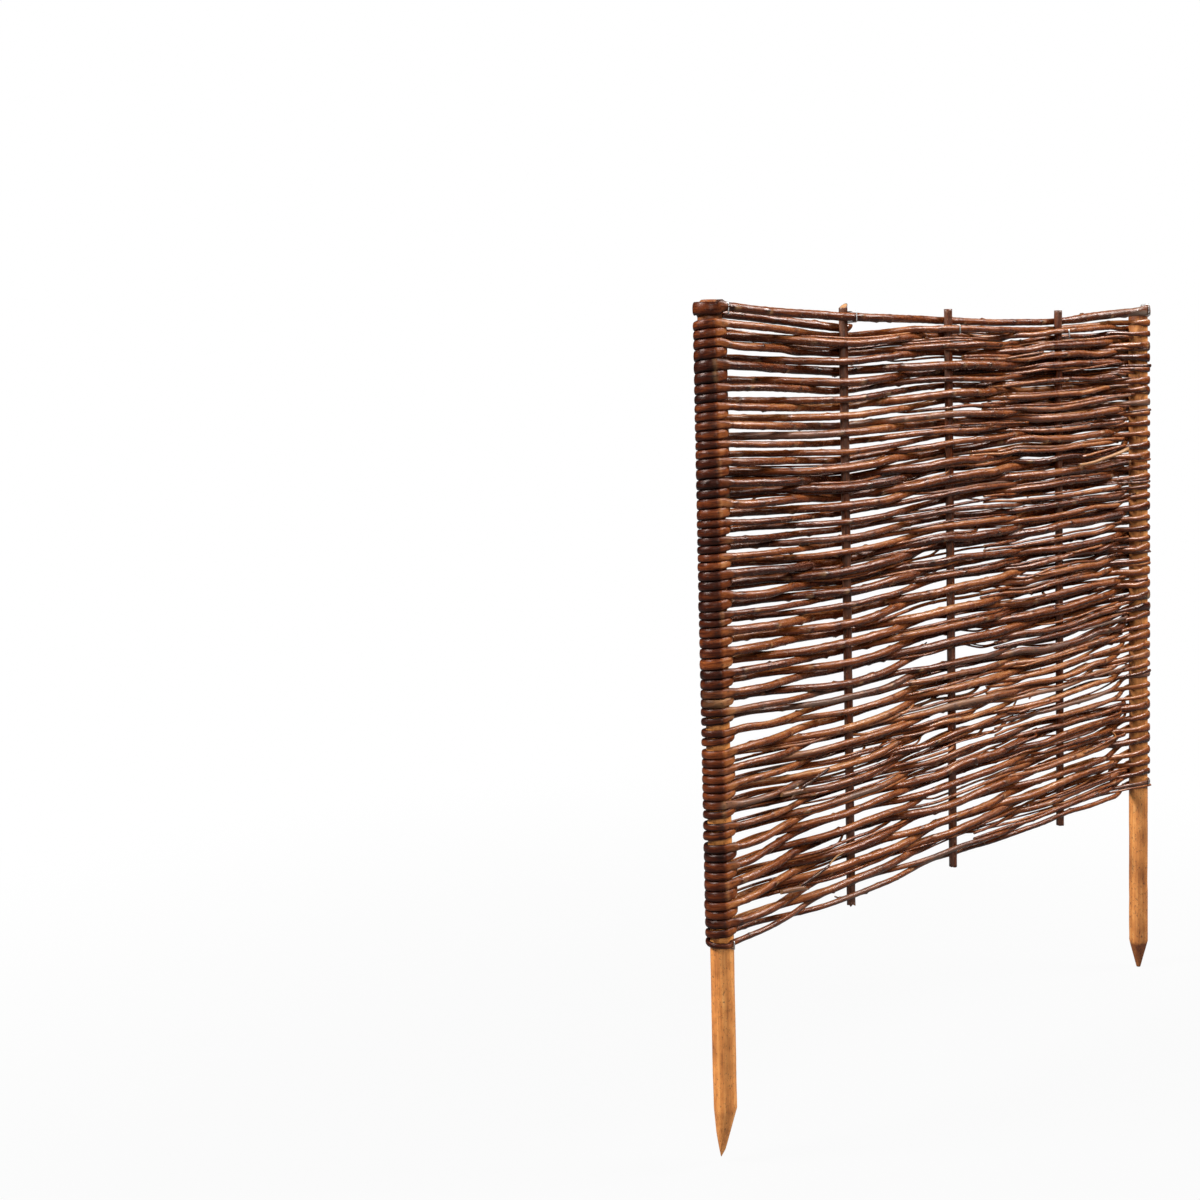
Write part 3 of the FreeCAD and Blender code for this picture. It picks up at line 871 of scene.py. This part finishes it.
# A tube along a route with half sizes level and upward, and a tone for each ring. It has buds, and a
# side shoot cut short at some of them. Where it is flat, it is a band.
def tube(piece, route, level, upward, tone, offset, flat, slants=(0.0, 0.0), sides=rodSettings["sides"]):
    ahead = unit(np.gradient(route, axis=0))
    length = lengthAlong(route)
    high = unit(up - ahead * (ahead @ up)[:, None])
    across = np.cross(ahead, high)
    angle = ringAngles(sides)
    cosine, sine = np.cos(angle)[None], np.sin(angle)[None]
    power = mix(1.0, bandSettings["boxed"], flat)[:, None]
    boxed = [np.sign(value) * np.abs(value) ** power for value in (cosine, sine)]
    swell = 1 + ripples(length, angle, **swellSettings)
    tone = np.repeat(np.concatenate([tone, flat[:, None]], 1)[:, None, :], sides, 1)
    # Painted light and shade: each rod's top is painted lighter and its underside darker, and a band gets
    # painted shade along its upper and lower edges, where it meets its neighbours
    tone[..., 0] += mix(0.26 * sine, 0.06 * sine - 0.34 * sine ** 4, flat[:, None])
    shoots = addBuds(length, angle, flat, swell, tone)
    a = (boxed[0] * swell * level[:, None])[..., None]
    b = (boxed[1] * swell * upward[:, None])[..., None]
    rings = route[:, None] + across[:, None] * a + high[:, None] * b
    for row, slant in zip((0, -1), slants):
        rings[row] += ahead[row] * (slant * upward[row] * sine[0])[:, None]
    mean = (level + upward)[:, None] / 2
    along = together(length[:, None] + offset, mean * cosine, mean * sine)
    piece.addRings(rings, along, tone, rng.uniform(0.1, 0.8))
    for row, facing in shoots:
        out = across[row] * math.cos(facing) * 0.5 + high[row] * math.sin(facing)
        start = route[row] + out * upward[row] * 0.6
        addShoot(piece, start, unit(ahead[row] * rng.choice((-0.9, 0.9)) + out * 0.55), tone[row, 0], offset)


# A side shoot, cut off a little way from its rod
def addShoot(piece, start, ahead, tone, offset):
    size, radius = rng.uniform(0.003, 0.007), rng.uniform(0.0006, 0.001)
    share = np.linspace(0, 1, 6)[:, None, None]
    angle = ringAngles(8)
    side = unit(np.cross(ahead, (0.3, 0.9, 0.2)))
    other = np.cross(ahead, side)
    circle = side * np.cos(angle)[:, None] + other * np.sin(angle)[:, None]
    rings = start + ahead * size * share + circle * radius * (1.15 - 0.35 * share)
    length = size * share[..., 0] + offset + 0.5
    along = together(length, radius * np.cos(angle), radius * np.sin(angle))
    piece.addRings(rings, along, tone, rng.uniform(0.0, 0.4))


def roundLeft(wrap, last):
    count = int(last * math.tau * stakeRadius * 1.25 / rodSettings["stepRound"])
    turn = np.linspace(0.0, last, count)[1:-1]
    angle = -math.pi / 2 - math.tau * turn
    z, half, reach = (np.interp(turn, wrap[0], wrap[row]) for row in (1, 2, 3))
    reach = reach * (1 + bandSettings["cornerSize"] * atCorner(angle, bandSettings["cornerWidth"]))
    return np.stack([reach * np.cos(angle), reach * np.sin(angle), z], -1), half


def roundRight(startZ, endZ, share):
    reach = woundRadius + rodSettings["rightThickness"]
    count = int(math.pi * reach / rodSettings["stepRound"])
    angle = np.linspace(-math.pi / 2, -math.pi / 2 + math.pi * share, count)[1:-1]
    z = mix(startZ, endZ, (angle + math.pi / 2) / math.pi)
    return np.stack([stationX[4] + reach * np.cos(angle), reach * np.sin(angle), z], -1)


# A rod lies flat on the right stake, and wider
def flatOnRight(route, level, upward):
    near = smooth((route[:, 0] - stationX[4] + 0.02) / 0.02)
    flat = mix(level, np.minimum(level, rodSettings["rightThickness"]), near)
    return flat, upward * (1 + rodSettings["spread"] * near)


toneSettings = {"tint": (0.33, 0.63), "greys": (0.0, 0.0, 0.05, 0.15, 0.6)}


# Tones of a rod, and how much of a band it is: it stays one a little way out from the stake
def rodTones(length, wrapStart, wrapEnd):
    tint = np.full(len(length), rng.uniform(*toneSettings["tint"]))
    for _ in range(3):
        tint += 0.05 * np.sin(math.tau * (length / rng.uniform(0.1, 0.5) + rng.random()))
    outer = bandSettings["reachOut"] + bandSettings["narrowing"]
    into = (length - wrapStart + outer) / bandSettings["narrowing"]
    outOf = (wrapEnd + outer - length) / bandSettings["narrowing"]
    band = smooth(into) * smooth(outOf)
    grey = np.full(len(length), rng.choice(toneSettings["greys"]))
    grey *= 0.5 + 0.5 * np.sin(math.tau * (length / rng.uniform(0.2, 0.6) + rng.random()))
    raw = np.zeros(len(length))
    for end, sign in ((wrapStart, -1), (wrapEnd, 1)):
        away = sign * (length - end)
        raw += rng.choice((0.0, 0.0, 0.05, 0.2)) * hump(away - bandSettings["reachOut"], 0.004)
        # Painted shade: the tone is darker in the crease just past each knuckle, where the rod bends away
        # from the stake
        tint -= 0.22 * hump(away - outer - 0.001, 0.0025)
    inside = smooth((length - wrapStart - 0.003) / 0.008) * smooth((wrapEnd - 0.003 - length) / 0.008)
    return np.stack([tint, grey * (1 - inside), raw], -1), band


# Half sizes along a rod: a band swells to a knuckle where it leaves the stake
def bandSizes(length, radius, half, band, wrapStart, wrapEnd):
    knuckle = np.zeros(len(length))
    for end, sign in ((wrapStart, -1), (wrapEnd, 1)):
        away = sign * (length - end) - bandSettings["reachOut"]
        knuckle += hump(away, bandSettings["knuckle"])
        knuckle -= 0.8 * hump(away - 0.008, bandSettings["knuckle"])
    level = mix(radius, bandSettings["halfThickness"], band) * (1 + 0.12 * knuckle)
    return level, mix(radius, half * bandSettings["fit"], band) * (1 + 0.06 * knuckle)


# Spots on the front, as x, z, reaches in x and z, channel of the tone and amount: a weathered length of rod,
# a torn wrap and a torn bend below it
spots = (
    (0.146, 0.094, 0.030, 0.0035, 1, 1.2),
    (-0.002, 0.196, 0.010, 0.0030, 2, 0.7),
    (0.006, 0.184, 0.007, 0.0030, 2, 0.6),
)


def addSpots(route, tone):
    for x, z, reachX, reachZ, channel, amount in spots:
        near = hump(route[:, 0] - x, reachX) * hump(route[:, 2] - z, reachZ)
        tone[:, channel] += amount * near * (route[:, 1] < 0.002)


# On the stake, a band is painted lighter in front of the corner (painted light) and darker behind it (painted
# shade), and its bark is cracked at some corners
def addWrapLightShadeAndCracks(route, tone):
    wound = np.hypot(route[:, 0], route[:, 1]) < stakeRadius * 1.7
    angle = np.arctan2(route[:, 1], route[:, 0])
    hidden = 1 - smooth((angle - bandSettings["corner"] + 0.1) / 0.14) * smooth(-angle / 0.2)
    tone[:, 0] -= np.where(wound, mix(*bandSettings["worn"], hidden), 0.0)
    cracked = atCorner(angle - rng.uniform(-0.05, 0.25), 0.1) * wound
    tone[:, 2] += cracked * rng.choice(bandSettings["cracks"])


def pieceName(start, node):
    return start + "".join(word.capitalize() for word in node.split("_"))


def makeRod(node, index):
    rod = rods[node]
    front, back = rod["front"], rod["back"]
    wrapRoute, wrapHalf = roundLeft(rod["wrap"], rod["lastTurn"])
    frontRun = front.route(stationX[4], stationX[0])
    backRun = back.route(stationX[0], stationX[4])
    rightRoute = roundRight(front.z[-1], front.z[-1], 0.87)[::-1]
    backTip = backRun[-1] + np.outer(np.linspace(0.3, 1, 3), (0.007, 0, 0))
    route = np.concatenate([rightRoute, frontRun, wrapRoute, backRun, backTip])
    radius = np.concatenate([np.full(len(rightRoute), front.radius[-1]), front.radiusAt(frontRun),
                             np.full(len(wrapRoute), front.radius[0]), back.radiusAt(backRun),
                             np.full(len(backTip), back.radius[-1])])
    length = lengthAlong(route)
    begin = len(rightRoute) + len(frontRun)
    end = begin + len(wrapRoute)
    half = np.interp(length, length[begin:end], wrapHalf)
    tone, band = rodTones(length, length[begin], length[end - 1])
    addSpots(route, tone)
    # Painted light on the bands' front, painted shade behind their corner, and cracks at some corners
    addWrapLightShadeAndCracks(route, tone)
    level, upward = bandSizes(length, radius, half, band, length[begin], length[end - 1])
    level, upward = flatOnRight(route, level, upward)
    piece = Piece()
    tube(piece, route, level, upward, tone, 2.3 * index, band, [rng.uniform(-0.6, 0.6) for _ in range(2)])
    piece.finish(pieceName("willow", node), (willowBark, cutWood, wrapBark), "willow_bark", node)


def makeFiller(node, index):
    front, back = fillers[node]["front"], fillers[node]["back"]
    turn = roundRight(front.z[-1], back.z[-1], 1.0)
    route = np.concatenate([front.route(front.start, stationX[4]), turn, back.route(stationX[4], back.start)])
    radius = front.radiusAt(route)
    tone, band = rodTones(lengthAlong(route), -1.0, -1.0)
    piece = Piece()
    level, upward = flatOnRight(route, radius, radius)
    tube(piece, route, level, upward, tone, 90 + 2.3 * index, band, [rng.uniform(-1, 1) for _ in range(2)])
    piece.finish(pieceName("willow", node), (willowBark, cutWood), "willow_bark", node)


def makeTopRod():
    front, back = topRod["front"], topRod["back"]
    run = front.route(stationX[4] + topSettings["overhang"], stationX[0])
    angle = np.linspace(-math.pi / 2, -1.5 * math.pi, 34)[1:-1]
    reach = topRod["reach"]
    cap = together(reach * np.cos(angle), reach * np.sin(angle), topRod["z"])
    tail = back.route(stationX[0], back.end)
    route = np.concatenate([run, cap, tail])
    radius = np.concatenate([front.radiusAt(run), np.full(len(cap), front.radius[0]), back.radiusAt(tail)])
    length = lengthAlong(route)
    begin, end = length[len(run)], length[len(run) + len(cap) - 1]
    tone, band = rodTones(length, begin, end)
    tone[:, 1] = smooth((0.12 - length) / 0.06)
    level, upward = bandSizes(length, radius, topRod["half"], band, begin, end)
    level = mix(level, topSettings["capThickness"], band)
    level, upward = flatOnRight(route, level, upward)
    piece = Piece()
    tube(piece, route, level, upward, tone, 160.0, band, (0.1, 0.8))
    piece.finish("willowTopRod", (willowBark, cutWood, wrapBark), "willow_bark", "top_rod")


def makeTwigs(name, lanes, first):
    piece = Piece()
    for index, lane in enumerate(lanes, first):
        route = lane.route(lane.start, lane.end)
        radius = lane.radiusAt(route)
        tone, band = rodTones(lengthAlong(route), -1.0, -1.0)
        slants = [rng.uniform(-1, 1) for _ in range(2)]
        level, upward = flatOnRight(route, radius, radius)
        tube(piece, route, level, upward, tone, 180 + 2.3 * index, band, slants, twigSettings["sides"])
    piece.finish(name, (willowBark, cutWood), "willow_bark")


# Single twigs: their route as x and z, radius at both ends, slants of the cuts and tone. Low on the left are
# two cut stubs, two dead twigs and a sliver of bare wood, and on the right is a peeled twig.
detailSettings = {
    "y": -0.0125,
    "stub": {"radius": (0.0018, 0.0024), "slants": (0.4, -1.9), "tone": (0.4, 0.5, 0.2)},
    "dead": {"radius": (0.0017, 0.0010), "slants": (0.5, 0.5), "tone": (0.1, 0.1, 0.0)},
    "sliver": {"radius": (0.0007, 0.0005), "slants": (0.0, 0.0), "tone": (1.0, 0.0, 1.6)},
    "peeled": {"radius": (0.0012, 0.0019), "slants": (0.3, 0.6), "tone": (0.8, 0.0, 0.8)},
    "twigs": (
        ("stub", ((0.0530, 0.0330), (0.0660, 0.0318), (0.0795, 0.0304))),
        ("stub", ((0.0545, 0.1115), (0.0675, 0.1108), (0.0810, 0.1100))),
        ("dead", ((0.0737, 0.0330), (0.0908, 0.0371), (0.1071, 0.0417))),
        ("dead", ((0.0754, 0.1125), (0.0925, 0.1173), (0.1088, 0.1225))),
        ("sliver", ((0.1055, 0.0405), (0.1105, 0.0448), (0.1170, 0.0478), (0.1255, 0.0494))),
        ("peeled", ((0.4530, 0.3520), (0.4660, 0.3525), (0.4800, 0.3538), (0.4930, 0.3560), (0.5060, 0.3578),
                    (0.5200, 0.3602), (0.5340, 0.3634))),
    ),
}


def makeDetails():
    piece = Piece()
    count = 16
    for index, (kind, stops) in enumerate(detailSettings["twigs"]):
        settings = detailSettings[kind]
        share = np.linspace(0, len(stops) - 1, count)
        x, z = (np.interp(share, np.arange(len(stops)), [stop[key] for stop in stops]) for key in (0, 1))
        route = together(x, detailSettings["y"], z)
        radius = np.linspace(*settings["radius"], count)
        level = radius
        if kind == "sliver":
            radius = radius * np.sin(np.linspace(0.3, math.pi - 0.2, count)) * 1.6
            level = radius * 0.4
        tone = np.repeat([settings["tone"]], count, 0)
        tube(piece, route, level, radius, tone, 300.0 + 3 * index, np.zeros(count), settings["slants"])
    piece.finish("willowDetails", (willowBark, cutWood), "willow_bark")


for index, node in enumerate(rods):
    makeRod(node, index)
for index, node in enumerate(fillers):
    makeFiller(node, index)
makeTopRod()
makeTwigs("willowTwigs", twigs[:gapCount], 0)
makeTwigs("willowFillTwigs", twigs[gapCount:] + looseTwigs, gapCount)
makeDetails()
print("stage: rods made")


# Ribs: how far each top stands below the highest one, and how ragged each foot is
ribSettings = {
    "tops": (0.0035, 0.0077, 0.0085),
    "frays": (0.0032, 0.0006, 0.0006),
    "rings": 220,
    "sides": 20,
    "slimmer": 0.97,
    "swell": {"count": 6, "waves": (0.02, 0.12), "turns": (0, 1, 2, 3), "size": 0.012},
    "swellLimit": 1.03,
    "tone": (0.4, 0.35, 0.0),
}


def makeRib(node, index):
    low, high = (np.array(corner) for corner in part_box(node))
    radius = (high[1] - low[1]) / 2 * ribSettings["slimmer"]
    z = np.linspace(low[2], high[2] - ribSettings["tops"][index], ribSettings["rings"])
    middle = middleOf(node)
    angle = ringAngles(ribSettings["sides"])
    swell = np.minimum(1 + ripples(z, angle, **ribSettings["swell"]), ribSettings["swellLimit"])
    x, y = radius * np.cos(angle), radius * np.sin(angle)
    rings = together(middle[0] + x * swell, middle[1] + y * swell, z[:, None])
    rings[0, :, 2] += [rng.uniform(0, ribSettings["frays"][index]) for _ in angle]
    if index == 0:
        rings[-1, :, 2] += np.maximum(np.cos(angle), -0.3) * 0.003
    piece = Piece()
    piece.addRings(rings, together(rings[..., 2] + 200 + index, x, y), np.array(ribSettings["tone"]))
    piece.finish("willowRib" + node[-1], (ribBark, cutWood), "rib_bark", node)


for index, node in enumerate(ribNodes):
    makeRib(node, index)


# Stakes: the wood is darker on the leg, in the weave (partly dirt, partly painted shade from the rods), above
# the height given as dark and at the soiled point, and within the weave one side of it is painted in shade
stakeChamfer = 0.003
stakeSwell = {"count": 6, "waves": (0.03, 0.2), "turns": (0, 1, 2, 3), "size": 0.00012}
# Per stake: the darkening in the weave is partly dirt and partly painted shade, and a painted shade falls on
# its left side within the weave
stakeSettings = {
    "left_stake": {
        "point": 0.04, "cuts": (25.0, 150.0, 265.0), "lean": (-0.0030, 0.0026), "leg": 0.0, "woven": 0.05,
        "dark": 0.21, "fade": 0.1, "soil": 0.1, "stains": 12, "grime": 0.2, "material": leftWood,
    },
    "right_stake": {
        "point": 0.028, "cuts": (), "lean": (0.0, 0.0), "leg": 0.16, "woven": 0.12,
        "dark": 0.485, "fade": 0.012, "soil": 0.75, "stains": 20, "grime": 0.6, "material": rightWood,
    },
}


def makeStake(node):
    settings = stakeSettings[node]
    low, high = (np.array(corner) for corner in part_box(node))
    middle = (low + high) / 2
    z = np.concatenate([np.linspace(low[2], low[2] + settings["point"], 30),
                        np.linspace(low[2] + settings["point"], high[2] - stakeChamfer, 160)[1:],
                        np.linspace(high[2] - stakeChamfer, high[2], 6)[1:]])
    sides = 48
    angle = ringAngles(sides)
    share = np.clip((z - low[2]) / settings["point"], 0, 1)
    chamfer = np.minimum(high[2] - stakeChamfer - z, 0.0)
    base = np.minimum(mix(0.002, woundRadius, share), woundRadius + chamfer)
    radius = base[:, None] + np.minimum(ripples(z, angle, **stakeSwell), 0.0)
    for cut in settings["cuts"]:
        away = turnFrom(angle, math.radians(cut))
        plane = 0.0092 * np.maximum(z - low[2], 0.0) / (0.9 * settings["point"]) + 0.0002
        limit = plane[:, None] / np.maximum(np.cos(away), 0.05)
        radius = np.minimum(radius, limit)
    x, y = radius * np.cos(angle), radius * np.sin(angle)
    rings = together(middle[0] + x, middle[1] + y, z[:, None])
    rings[..., :2] += (1 - share[:, None, None]) * settings["lean"]
    along = together(rings[..., 2] + middle[0] * 9, x, y)
    piece = Piece()
    inWeave = smooth(z / 0.02)
    woven = mix(settings["leg"], settings["woven"], inWeave)
    woven += smooth((z - settings["dark"]) / settings["fade"])
    woven += smooth((low[2] + settings["point"] - z) / 0.004) * settings["soil"]
    # Painted shade on the stake's left side inside the weave, where the rods crowd against it
    inner = turnFrom(angle, math.pi) + 0.35
    stainsAndShade = woven[:, None] + settings["grime"] * np.outer(inWeave, hump(inner, 0.7))
    for _ in range(settings["stains"]):
        facing, height = rng.uniform(0, math.tau), rng.uniform(low[2] + settings["point"], 0.0)
        wide, tall = rng.uniform(0.3, 0.9), rng.uniform(0.004, 0.016)
        stain = hump(turnFrom(angle, facing), wide) * hump(z[:, None] - height, tall)
        stainsAndShade += rng.uniform(0.1, 0.35) * stain
    piece.addRings(rings, along, np.repeat(stainsAndShade[..., None], 3, -1), 1.0)
    piece.finish(node.split("_")[0] + "Stake", (settings["material"], cutWood), "stake_wood", node)


for node in stakeSettings:
    makeStake(node)


# Staples: round wire through the middle of the CAD's square bars
def roundedRoute(points, radius):
    route = [points[0]]
    for before, corner, after in zip(points, points[1:], points[2:]):
        one, two = (corner + unit(end - corner) * radius for end in (before, after))
        for share in np.linspace(0, 1, 6):
            route.append(mix(mix(one, corner, share), mix(corner, two, share), share))
    return np.array(route + [points[-1]])


def wire(piece, points, radius):
    route = roundedRoute([np.array(point) for point in points], radius * 1.6)
    ahead = unit(np.gradient(route, axis=0))
    side = unit(np.cross(ahead, (0.61, 0.31, 0.73)))
    other = np.cross(ahead, side)
    angle = ringAngles(10)[:, None]
    rings = route[:, None] + radius * (side[:, None] * np.cos(angle) + other[:, None] * np.sin(angle))
    piece.addRings(rings, rings, np.full(3, 0.5))


stapleSettings = {
    "radius": 0.0006,
    "reach": 0.0042,
    "rightReach": 0.0031,
    "lowShift": -0.0065,
    "deep": 0.003,
}


def makeStaples(node, centres, hooked):
    points = corners(node)
    piece = Piece()
    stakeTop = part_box("right_stake")[1][2]
    for x in centres:
        near = points[abs(points[:, 0] - x) < 0.02]
        split = (near[:, 2].min() + near[:, 2].max()) / 2
        tall = np.ptp(near[:, 2]) > 0.05
        for group in ((near[near[:, 2] > split], near[near[:, 2] < split]) if tall else (near,)):
            low, high = group.min(0), group.max(0)
            radius = stapleSettings["radius"]
            front = group[abs(group[:, 1] - low[1]) < 1e-5]
            barX = (front[:, 0].min() + front[:, 0].max()) / 2
            moved = sag(barX, (low[2] + high[2]) / 2)
            y0, y1 = low[1] + radius, high[1] - radius
            z0, z1 = low[2] + radius + moved, high[2] - radius + moved
            if not hooked:
                right = x > stationX[3]
                y0 = max(y0, -woundRadius - stapleSettings["rightReach" if right else "reach"])
                if right and z1 > stakeTop:
                    end = topRod["front"]
                    half = end.radius[-1] * (1 + rodSettings["spread"]) + radius
                    z0, z1 = end.z[-1] - half, end.z[-1] + half
                barX += stapleSettings["lowShift"] if x < stationX[1] and z1 < stationX[1] else 0.0
            ends = [(x, y1, z0)] if hooked else []
            wireRoute = ends + [(barX, y1, z0), (barX, y0, z0), (barX, y0, z1), (barX, y1, z1)]
            wireRoute += [(x, y1, z1)] if hooked else []
            if z1 > stakeTop and not hooked:
                wireRoute.append((barX, y1, stakeTop - stapleSettings["deep"]))
            wire(piece, wireRoute, radius)
    piece.finish(pieceName("wire", node), (stapleWire, stapleWire), "staple_wire", node)


makeStaples("stake_staples", (stakeX[0] + 0.0072, stakeX[1]), False)
makeStaples("rib_staples", stationX[1:4], True)
print("stage: uprights and staples made")


# Floor, backdrop and light
studioSettings = {
    "floorSize": 12.0,
    "floorDrop": 0.0005,
    "floorTone": 0.15,
    "world": 0.015,
    "lights": {
        "key": {"place": (-1.7, 0.9, 2.1), "size": 0.7, "power": 135.0},
        "side": {"place": (2.5, -1.72, 2.9), "size": 1.0, "power": 192.0},
        "front": {"place": (-1.3, -2.2, 1.5), "size": 0.8, "power": 40.0},
    },
}


def makeFloor():
    half = studioSettings["floorSize"] / 2
    z = cadBox[0][2] - studioSettings["floorDrop"]
    mesh = bpy.data.meshes.new("floor")
    places = [(x * half, y * half, z) for x, y in ((-1, -1), (1, -1), (1, 1), (-1, 1))]
    mesh.from_pydata(places, [], [(0, 1, 2, 3)])
    material, tree, shader = startMaterial("floorPaper")
    shader.inputs["Base Color"].default_value = (*[studioSettings["floorTone"]] * 3, 1.0)
    shader.inputs["Roughness"].default_value = 0.9
    place = addNode(tree, "ShaderNodeTexCoord").outputs["Object"]
    away = addNode(tree, "ShaderNodeVectorMath", {0: place}, operation="LENGTH").outputs["Value"]
    glowing = addUp(tree, 0.95, (step(tree, away, 0.4, 1.3), 0.05))
    seen = addNode(tree, "ShaderNodeLightPath").outputs["Is Camera Ray"]
    glow = addNode(tree, "ShaderNodeEmission").outputs[0]
    sockets = {0: maths(tree, "MULTIPLY", seen, glowing), 1: shader.outputs[0], 2: glow}
    both = addNode(tree, "ShaderNodeMixShader", sockets)
    plug(tree, tree.nodes["Material Output"].inputs["Surface"], both.outputs[0])
    mesh.materials.append(material)
    floor = addObject("floor", mesh)


def makeWorld():
    world = bpy.data.worlds.new("studio")
    world.use_nodes = True
    tree = world.node_tree
    background = tree.nodes["Background"]
    background.inputs["Color"].default_value = (1.0, 1.0, 1.0, 1.0)
    seen = addNode(tree, "ShaderNodeLightPath").outputs["Is Camera Ray"]
    dim = studioSettings["world"]
    plug(tree, background.inputs["Strength"], addUp(tree, dim, (seen, 1 - dim)))
    bpy.context.scene.world = world


def addLight(name, place, size, power):
    data = bpy.data.lights.new(name, "AREA")
    data.size = size
    data.energy = power
    light = addObject(name, data)
    target = Vector(((stakeX[0] + stakeX[1]) / 2, 0.0, 0.2))
    light.location = place
    light.rotation_euler = (target - Vector(place)).to_track_quat("-Z", "Y").to_euler()


makeFloor()
makeWorld()
for name, light in studioSettings["lights"].items():
    addLight(name, **light)
bpy.context.scene.view_settings.view_transform = "Standard"
print("stage: studio made")
